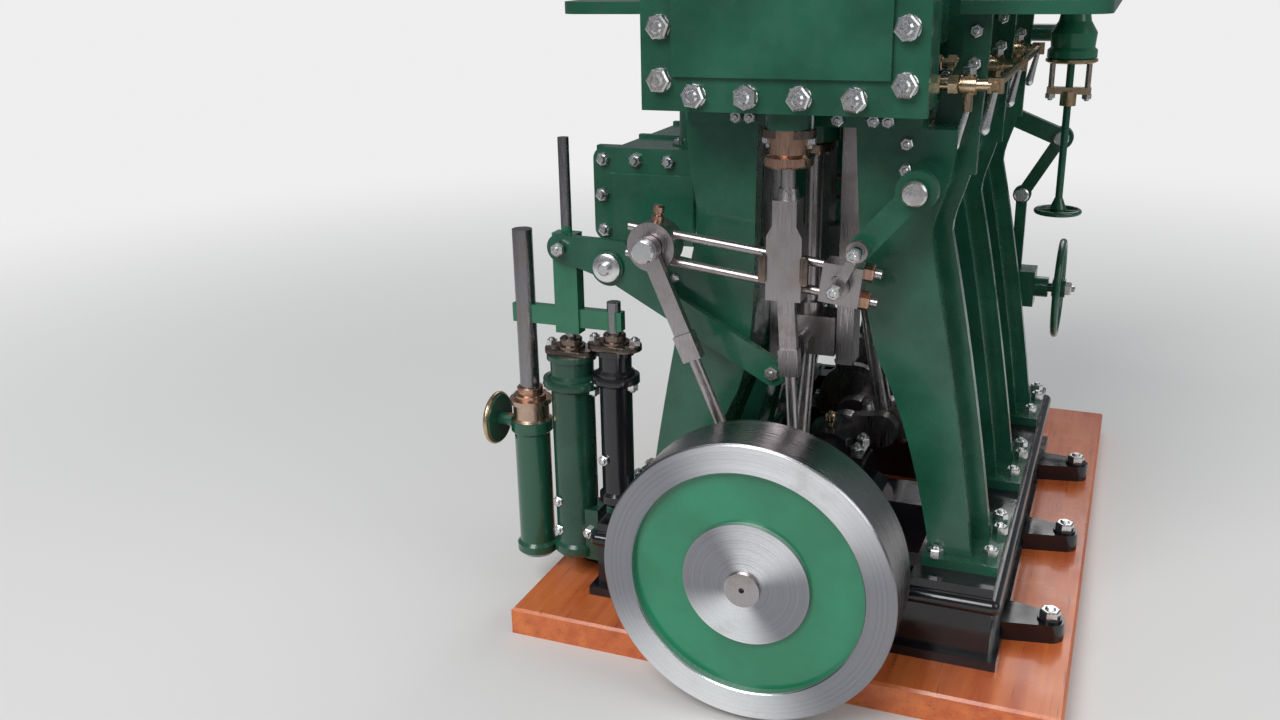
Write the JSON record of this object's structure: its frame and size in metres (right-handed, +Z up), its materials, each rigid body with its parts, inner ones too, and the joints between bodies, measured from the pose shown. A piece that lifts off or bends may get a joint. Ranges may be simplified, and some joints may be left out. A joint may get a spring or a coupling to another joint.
{
  "type": "model steam engine",
  "caption": "Inverted vertical triple-expansion marine engine model with flywheel, link valve gear, pumps and condenser on a varnished board.",
  "frame": {"origin": "middle of the baseboard's underside", "axes": "+Z up, crankshaft along Y with the flywheel at -Y, reversing gear and stop valve at +X, pumps at -X"},
  "size_m": [0.187, 0.2622, 0.25],
  "materials": {
    "green_enamel": "gloss enamel",
    "black_enamel": "gloss enamel",
    "bright_steel": "turned and polished",
    "brass": "polished",
    "varnished_wood": "gloss varnish"
  },
  "bodies": {
    "engine": {"baseboard": "varnished_wood", "bedplate": "black_enamel", "main_bearing_caps": "black_enamel", "front_columns": "green_enamel", "middle_columns": "green_enamel", "rear_columns": "green_enamel", "low_cylinder": "green_enamel", "mid_cylinder": "green_enamel", "high_cylinder": "green_enamel", "cylinder_covers": "green_enamel", "low_valve_chest": "green_enamel", "mid_valve_chest": "green_enamel", "high_valve_chest": "green_enamel", "chest_covers": "green_enamel", "platforms": "green_enamel", "stuffing_glands": "brass", "piston_rods": "bright_steel", "connecting_rods": "bright_steel", "crosshead_guides": "bright_steel", "crankshaft": "bright_steel", "eccentrics": "bright_steel", "eccentric_rods": "bright_steel", "expansion_links": "bright_steel", "valve_rods": "bright_steel", "drag_links": "bright_steel", "weigh_shaft": "green_enamel", "reversing_gear": "green_enamel", "stop_valve": "green_enamel", "stop_valve_yoke": "brass", "steam_pipe": "green_enamel", "receiver_pipes": "green_enamel", "condenser": "green_enamel", "condenser_covers": "green_enamel", "exhaust_pipe": "green_enamel", "feed_pump": "green_enamel", "air_pump": "green_enamel", "bilge_pump": "green_enamel", "pump_rods": "bright_steel", "pump_beam": "green_enamel", "pump_link": "bright_steel", "drain_pipes": "brass"},
    "flywheel": {"flywheel": "bright_steel", "flywheel_shaft": "bright_steel"},
    "reversing_wheel": {"reversing_handwheel": "green_enamel"},
    "stop_wheel": {"stop_valve_handwheel": "green_enamel"}
  },
  "joints": [
    {"name": "flywheel_spin", "type": "hinge", "parent": "engine", "child": "flywheel", "pos_m": [0, -0.13, 0.0438], "axis": [0, 1, 0], "continuous": true},
    {"name": "reversing_wheel_turn", "type": "hinge", "parent": "engine", "child": "reversing_wheel", "pos_m": [0.063, 0.0696, 0.078], "axis": [1, 0, 0], "range_deg": [-720, 720]},
    {"name": "stop_valve_turn", "type": "hinge", "parent": "engine", "child": "stop_wheel", "pos_m": [0.061, 0.0482, 0.113], "axis": [0, 0, 1], "range_deg": [0, 1080]}
  ]
}
